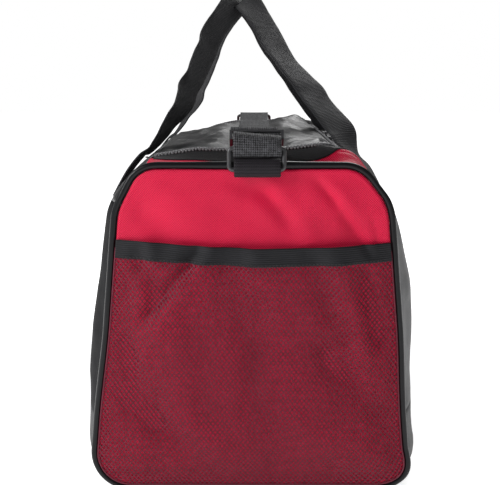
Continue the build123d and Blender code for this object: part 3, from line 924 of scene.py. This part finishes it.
def build_zip():
    rows = along(zip_line(0), 420)
    for name, start, stop, body, node, raise_by in (
        ("tape_body", 0.6, TAPE_REACH, "bag", "zip_tape_body", 0.85),
        ("tape_lid", -0.6, -TAPE_REACH, "lid", "zip_tape_lid", 0.95),
    ):
        columns = np.linspace(start, stop, 7)
        paths = [along(zip_line(c), len(rows)) for c in columns]
        plan = np.stack(paths, axis=1)
        x, y = plan[..., 0], plan[..., 1]
        step = np.abs(columns)[None] / TAPE_REACH
        z = zip_height(x, y) + raise_by * (1 - 0.25 * step)
        if body == "lid":
            z = np.maximum(z, np.where(step > 0.3, lid_height(x, y) + 0.7, z))
        travelled = np.linspace(0, 1010, len(rows))
        uv = np.stack(np.meshgrid(columns, travelled, indexing="ij"), axis=-1).transpose(1, 0, 2)
        tape = piece(name, np.stack([x, y, z], -1), grid_faces(*x.shape), tape_cloth, body, uv)
        if start < 0:
            tape.data.flip_normals()
        thicken(tape, 0.6, 0.0)
        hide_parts(node)
    coils = (("coil_body", 1, "bag", "zip_coil_body"), ("coil_lid", -1, "lid", "zip_coil_lid"))
    for name, side, body, node in coils:
        centre = zip_line(0, 0.5)
        steps = np.r_[0, np.cumsum(np.linalg.norm(np.diff(centre, axis=0), axis=1))]
        points, faces = [], []
        phase = 0.0 if side > 0 else TOOTH_PITCH / 2
        for s in np.arange(2.0 + phase, steps[-1] - 2.0, TOOTH_PITCH):
            here = np.array([np.interp(s, steps, c) for c in centre.T])
            near = np.array([np.interp(s + 0.5, steps, c) for c in centre.T])
            way = (near - here) / np.linalg.norm(near - here)
            out = np.array((way[1], -way[0])) * side
            turn = np.linspace(-2.2, 2.2, 9)
            reach = 1.1 - 1.9 * np.cos(turn)
            base = here[None] + out[None] * (1.0 - reach[:, None] * 0.9)
            base = base + way[None] * np.sin(turn)[:, None] * 0.75
            height = zip_height(here[0], here[1]) + 1.55 - 0.75 * np.cos(turn * 1.2)
            tilt = -0.7 * ((base - here) @ np.array((way[1], -way[0])))
            loop = np.column_stack([base, height + 0.9 + tilt])
            ring, quads, _ = tube(loop, 0.95, 5, (0, 0, 1), closed=False)
            faces += [tuple(v + len(points) for v in q) for q in quads]
            points += ring.reshape(-1, 3).tolist()
        coil = piece(name, points, faces, coil_plastic, body)
        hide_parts(node)


build_zip()


# ---- webbing ----------------------------------------------------------------------------------
def ribbon(path, width, thickness, centre_x=STRAP_X, spacing=2.0, cup=0.0):
    """A flat strap along (y, z) points, its width along X, with softly rounded selvedges."""
    controls = [(centre_x, y, z) for y, z in path]
    length = sum(math.dist(a, b) for a, b in zip(path, path[1:]))
    line = curve_through(controls, max(8, int(length / spacing)))
    ahead = np.gradient(line, axis=0)
    ahead /= np.linalg.norm(ahead, axis=1, keepdims=True)
    up = np.cross(ahead, (1, 0, 0))
    up /= np.linalg.norm(up, axis=1, keepdims=True)
    return band(line, np.tile((1.0, 0, 0), (len(line), 1)), up, width, thickness, cup)


def band(line, across, up, width, thickness, cup=0.0):
    """A closed strap: its section is a flat bar with rounded edges, carried along a line."""
    half, r = width / 2, thickness / 2
    flat = np.linspace(-(half - r), half - r, 9)
    turn = np.linspace(-math.pi / 2, math.pi / 2, 5)[1:-1]
    top = [(a, r) for a in flat]
    right = [(half - r + r * math.cos(t), -r * math.sin(t)) for t in turn]
    bottom = [(a, -r) for a in flat[::-1]]
    left = [(-(half - r) - r * math.cos(t), r * math.sin(t)) for t in turn]
    profile = np.array(top + right + bottom + left)
    bow = cup * (1 - (profile[:, 0] / half) ** 2)
    points = (line[:, None] + across[:, None] * profile[None, :, 0, None]
              + up[:, None] * (profile[:, 1] + bow)[None, :, None])
    travelled = np.r_[0, np.cumsum(np.linalg.norm(np.diff(line, axis=0), axis=1))]
    u = np.broadcast_to(profile[None, :, 0], points.shape[:2])
    v = np.broadcast_to(travelled[:, None], points.shape[:2])
    sides = len(profile)
    faces = grid_faces(len(line), sides, close_columns=True)
    end = (len(line) - 1) * sides
    faces += [tuple(range(sides))[::-1], tuple(end + k for k in range(sides))]
    return points, faces, np.stack([u, v], axis=-1)


def build_straps():
    tab = ((-350, 362.4), (-366, 361.6), (-375, 362.0), (-379.5, 366.4), (-384, 367.4), (-389.5, 366.2),
           (-393.8, 362.2), (-395.2, 357), (-394.2, 352.4), (-391, 350.0), (-387.6, 351.2), (-386.6, 354.4))
    points, faces, uv = ribbon(tab, 48.5, 1.9, cup=0.2)
    both_ends("tab_loop", points, faces, tab_web, "bag", "strap_tab", uv)

    strap = (
        (-331, 371.5), (-341, 376.6), (-352, 382.2), (-362, 386.4), (-371, 388.4), (-378, 388.0),
        (-382.8, 384.6), (-383.9, 379.5), (-384.6, 374.0), (-387.2, 370.4), (-390.6, 372.2),
        (-391.8, 378.5), (-390.6, 386), (-386.6, 391.4), (-379, 393.0), (-370, 391.6), (-362.5, 390.2),
        (-357, 392.6), (-352, 397.2), (-346.5, 397.6), (-342, 391), (-338.4, 383), (-330, 376),
        (-320, 370.8), (-309, 368.6),
    )
    far_strap = ((-338, 369.6), (-352, 371.6), (-362, 374.6), (-370.5, 377.2), (-376.2, 377.8),
                 (-377.6, 375.6), (-380, 373.3), (-383.4, 373.8), (-384.9, 377.4), (-383.2, 380.8),
                 (-378.5, 382.0), (-370, 380.4), (-352, 375.2), (-330, 370.2), (-309, 368.2))
    for end, path in (("near", strap), ("far", far_strap)):
        points, faces, uv = ribbon(path, 50, 1.8, cup=0.3)
        y, z = points[..., 1], points[..., 2]
        if end == "near":
            front = smooth(374, 392, z) * smooth(360, 368, -y)
            hump = smooth(388, 397, z) * (1 - smooth(354, 360, -y))
            points[..., 2] -= 0.09 * (points[..., 0] - STRAP_X) * front
            points[..., 0] -= 3.0 * hump
        else:
            points, faces = mirrored(points), flipped(faces)
        loop = piece(f"strap_loop_{end}", points, faces, strap_web, f"ring_{end}", uv)
        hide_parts(f"strap_end_{end}")

    y = np.linspace(-300, 300, 241)
    x = np.full_like(y, STRAP_X)
    z = np.max([lid_height(x + d, y) for d in (-24, -12, 0, 12, 24)], axis=0) + 1.2
    line = np.stack([x, y, z], axis=1)
    ahead = np.gradient(line, axis=0)
    ahead /= np.linalg.norm(ahead, axis=1, keepdims=True)
    up = np.cross((1, 0, 0), ahead)
    points, faces, uv = band(line, np.tile((1.0, 0, 0), (len(y), 1)), up, 50, 1.8)
    strap = piece("strap_over_lid", points, flipped(faces), strap_web, "lid", uv)
    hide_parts("strap_middle")


build_straps()


# ---- handles ----------------------------------------------------------------------------------
HANDLE_WIDTH = 38.0
HANDLE_THICK = 2.6
HANDLE_Y = 200.0
# Middle line of each handle's near half from the fold to the top: x, y, z and the turn in degrees from
# edge-on to face-on. x, z and most turns came from another script, which worked them back from readings
# of the photograph's outline, and were rounded afterwards. That breaks a rule: see report.md.
LEFT_HANDLE = (
    (-165.5, -200, 308, 2), (-157, -200, 323, 3), (-146, -200, 340, 5), (-133, -199, 355.5, 6),
    (-124, -196, 362, 7), (-114.5, -188, 373, 10), (-106.5, -179, 385, 14), (-99, -168, 396.5, 17),
    (-90.5, -156, 408.5, 22), (-84, -143, 421, 30), (-80, -130, 433, 36), (-73.5, -117, 446, 29),
    (-68.5, -104, 458.5, 34), (-63, -91, 472, 38), (-57.5, -78, 485, 36), (-54, -65, 498.5, 43),
    (-47, -52, 512.5, 43), (-38, -40, 526.5, 42), (-28.5, -26, 540.5, 46), (-20, -12, 552.5, 62),
    (-16.5, 0, 556.5, 90),
)
RIGHT_HANDLE = (
    (165.5, -200, 308, 2), (157, -200, 323, 5), (146, -200, 339, 9), (133, -199, 350, 13),
    (125, -196, 361.5, 20), (118, -190, 373, 38), (113.5, -181, 385, 48), (104.5, -170, 396.5, 46),
    (94.5, -158, 408.5, 41), (85, -145, 421, 41), (77.5, -132, 433, 46), (67, -119, 446, 37),
    (56, -106, 458.5, 34), (45.5, -93, 472, 31), (36.5, -80, 485, 37), (29, -67, 498.5, 42),
    (22, -54, 512.5, 42), (13.5, -42, 526.5, 43), (4, -28, 540.5, 48), (-5, -12, 552, 64),
    (-8.5, 0, 556, 90),
)
LEG_LOW = 62.0
LEG_TOP = 296.0


def wall_place(y, z, side):
    """A point of the body's outer wall and its outward direction."""
    path = right_half(y)
    flank = path[path[:, 1] < 345]
    x = np.interp(z, flank[:, 1], flank[:, 0])
    slope = (np.interp(z + 2, flank[:, 1], flank[:, 0]) - np.interp(z - 2, flank[:, 1], flank[:, 0])) / 4
    out = np.array((side, 0, -slope)) / math.hypot(1, slope)
    point = np.array((side * x, y, z))
    return point + out * wrinkle(point), out


def build_handle(name, side, controls):
    free = curve_through(controls, 150)
    line, turn = free[:, :3], np.radians(free[:, 3])
    lean = math.atan2(controls[-1][2] - controls[0][2], abs(controls[-1][0] - controls[0][0]))
    facing = np.array((math.sin(lean), 0, side * math.cos(lean)))
    columns = 9
    half = np.linspace(-HANDLE_WIDTH / 2, HANDLE_WIDTH / 2, columns)
    leg_rows = np.linspace(LEG_LOW, LEG_TOP, 80)
    leg = np.empty((len(leg_rows), columns, 3))
    leg_up = np.empty_like(leg)
    for r, z in enumerate(leg_rows):
        for c, w in enumerate(half):
            point, out = wall_place(-HANDLE_Y + w, z, side)
            leg[r, c] = point + out * (0.7 + HANDLE_THICK / 2)
            leg_up[r, c] = out
    ahead = np.gradient(line, axis=0)
    ahead /= np.linalg.norm(ahead, axis=1, keepdims=True)
    across = np.cos(turn)[:, None] * np.array((0, 1.0, 0)) + np.sin(turn)[:, None] * facing
    across -= (across * ahead).sum(axis=1, keepdims=True) * ahead
    across /= np.linalg.norm(across, axis=1, keepdims=True)
    upper = line[:, None] + across[:, None] * half[None, :, None]
    up = np.cross(across, ahead) * side
    upper_up = np.repeat(up[:, None], columns, axis=1)
    near = np.concatenate([leg, upper])
    near_up = np.concatenate([leg_up, upper_up])
    far = near[-2::-1] * (1, -1, 1)
    far_up = near_up[-2::-1] * (1, -1, 1)
    middle = np.concatenate([near, far])
    outward = np.concatenate([near_up, far_up])
    outward /= np.linalg.norm(outward, axis=2, keepdims=True)
    # A closed strap: outer face, rounded edge, inner face, rounded edge.
    r = HANDLE_THICK / 2
    edge_way = middle[:, -1] - middle[:, -2]
    edge_way /= np.linalg.norm(edge_way, axis=1, keepdims=True)
    outer = middle + outward * r
    inner = (middle - outward * r)[:, ::-1]
    right_edge = (middle[:, -1] + edge_way * r * 0.8)[:, None]
    left_edge = (middle[:, 0] - edge_way * r * 0.8)[:, None]
    points = np.concatenate([outer, right_edge, inner, left_edge], axis=1)
    centre = middle[:, columns // 2]
    travelled = np.r_[0, np.cumsum(np.linalg.norm(np.diff(centre, axis=0), axis=1))]
    u = np.r_[half, HANDLE_WIDTH / 2 + 1, half[::-1], -HANDLE_WIDTH / 2 - 1]
    uv = np.stack(np.meshgrid(u, travelled, indexing="xy"), axis=-1)
    sides = points.shape[1]
    faces = grid_faces(points.shape[0], sides, close_columns=True)
    end = (points.shape[0] - 1) * sides
    faces += [tuple(range(sides))[::-1], tuple(end + k for k in range(sides))]
    handle = piece(f"grab_{name}", points, faces, handle_web, None, uv)
    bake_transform(handle)
    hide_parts(f"handle_{name}", f"handle_leg_{name}_near", f"handle_leg_{name}_far")


build_handle("left", -1, LEFT_HANDLE)
build_handle("right", 1, RIGHT_HANDLE)


# ---- CAD parts that keep their shape ----------------------------------------------------------
def dress(material, *nodes):
    for node in nodes:
        made = frame["nodes"][node]
        if not made.material_slots:
            made.data.materials.append(material)
        for slot in made.material_slots:
            slot.link = "OBJECT"
            slot.material = material


dress(enamel, "ring_near", "ring_far", "tri_glide_near", "zip_slider_near", "zip_slider_far",
      "pull_tab_near", "pull_tab_far")
dress(board_plastic, "base_board")


def build_stops():
    """The zip's end stops: crimped bars that settle with the cloth, each within its CAD solid's box."""
    for end in ("near", "far"):
        node = f"zip_stop_{end}"
        low, high = (np.array([corner(node, which, axis) for axis in range(3)]) for which in (0, 1))
        half = (high - low) / 2
        step = np.linspace(-1, 1, 9)
        path = (low + high) / 2 + np.outer(step, (0, half[1], 0))
        radius = half[2] * (1 - 0.4 * step**6)
        points, faces, uv = tube(path, radius, 12, (0, 0, 1), half[0] / half[2], closed=False)
        stop = piece(f"end_stop_{end}", points, faces, enamel, "bag", uv)
        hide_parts(node)


BINDING_R = 1.6


def build_bindings():
    """Tape bound over the raw edges inside each end seam, which settles with the cloth."""
    low_y, high_y = corner("seam_binding_near", 0, 1), corner("seam_binding_near", 1, 1)
    outer = corner("seam_binding_near", 1, 0)
    grow = outer - float(section_outline(SEAM)[:, 0].max()) - BINDING_R
    rim = along(section_outline(SEAM, grow), 361)[:-1]
    path = np.stack([rim[:, 0], np.full(len(rim), (low_y + high_y) / 2), rim[:, 1]], axis=1)
    points, faces, uv = tube(path, BINDING_R, 10)
    both_ends("binding_tape", points, faces, tape_cloth, "bag", "seam_binding", uv)


build_stops()
build_bindings()

# ---- studio -----------------------------------------------------------------------------------
CAMERA_Y = -1380.0
CAMERA_Z = 458.7
CAMERA_PITCH = 10.21
LENS = 68.97
ROOM_LIGHT = 0.20


def build_studio():
    camera = bpy.data.cameras.new("camera")
    camera.lens = LENS
    camera.sensor_width = 36
    holder = bpy.data.objects.new("camera", camera)
    holder.location = (0, CAMERA_Y * 0.001, CAMERA_Z * 0.001)
    holder.rotation_euler = (math.radians(90 - CAMERA_PITCH), 0, 0)
    bpy.context.scene.collection.objects.link(holder)
    bpy.context.scene.camera = holder
    bpy.context.scene.view_settings.view_transform = "Standard"
    world = bpy.data.worlds.new("studio")
    world.use_nodes = True
    tree = world.node_tree
    room = tree.nodes["Background"]
    room.inputs[0].default_value = (1, 1, 1, 1)
    room.inputs[1].default_value = ROOM_LIGHT
    sweep = tree.nodes.new("ShaderNodeBackground")
    seen = tree.nodes.new("ShaderNodeLightPath")
    either = tree.nodes.new("ShaderNodeMixShader")
    tree.links.new(seen.outputs["Is Camera Ray"], either.inputs[0])
    tree.links.new(room.outputs[0], either.inputs[1])
    tree.links.new(sweep.outputs[0], either.inputs[2])
    tree.links.new(either.outputs[0], tree.nodes["World Output"].inputs[0])
    sweep.inputs[0].default_value = (1, 1, 1, 1)
    bpy.context.scene.world = world
    lamps = (
        ("key", (-1.4, -1.0, 1.15), 0.7, 30.0),
        ("fill", (1.9, -1.5, 0.9), 1.6, 2.0),
        ("top", (0.5, 1.3, 1.7), 1.2, 24.0),
    )
    for name, place, size, power in lamps:
        lamp = bpy.data.lights.new(name, "AREA")
        lamp.size = size
        lamp.energy = power
        made = bpy.data.objects.new(name, lamp)
        made.location = place
        aim = Vector((0, -0.1, 0.2)) - Vector(place)
        made.rotation_euler = aim.to_track_quat("-Z", "Y").to_euler()
        bpy.context.scene.collection.objects.link(made)
    floor_points = [(-9, -9, 0), (9, -9, 0), (9, 9, 0), (-9, 9, 0)]
    mesh = bpy.data.meshes.new("floor")
    mesh.from_pydata(floor_points, [], [(0, 1, 2, 3)])
    m = Nodes("floor", 0.8, Emission_Color=(1, 1, 1, 1))
    m.colour(m.ramp(m.cloud(400.0), (0.0, 0.86), (1.0, 0.9)))
    # Painted light: the floor glows. Its emission rises from 0.6 near the middle to 1.0 from 0.6 m out, so it
    # fades to white away from the bag and lights it from below.
    away = m.new("ShaderNodeVectorMath", operation="LENGTH")
    m.link(m.place(), away.inputs[0])
    glow = m.new("ShaderNodeMapRange", interpolation_type="SMOOTHSTEP")
    for socket, value in (("From Min", 0.2), ("From Max", 0.6), ("To Min", 0.6), ("To Max", 1.0)):
        glow.inputs[socket].default_value = value
    m.link(away.outputs["Value"], glow.inputs["Value"])
    m.link(glow.outputs[0], m.shader.inputs["Emission Strength"])
    mesh.materials.append(m.material)
    floor = bpy.data.objects.new("floor", mesh)
    bpy.context.scene.collection.objects.link(floor)


build_studio()
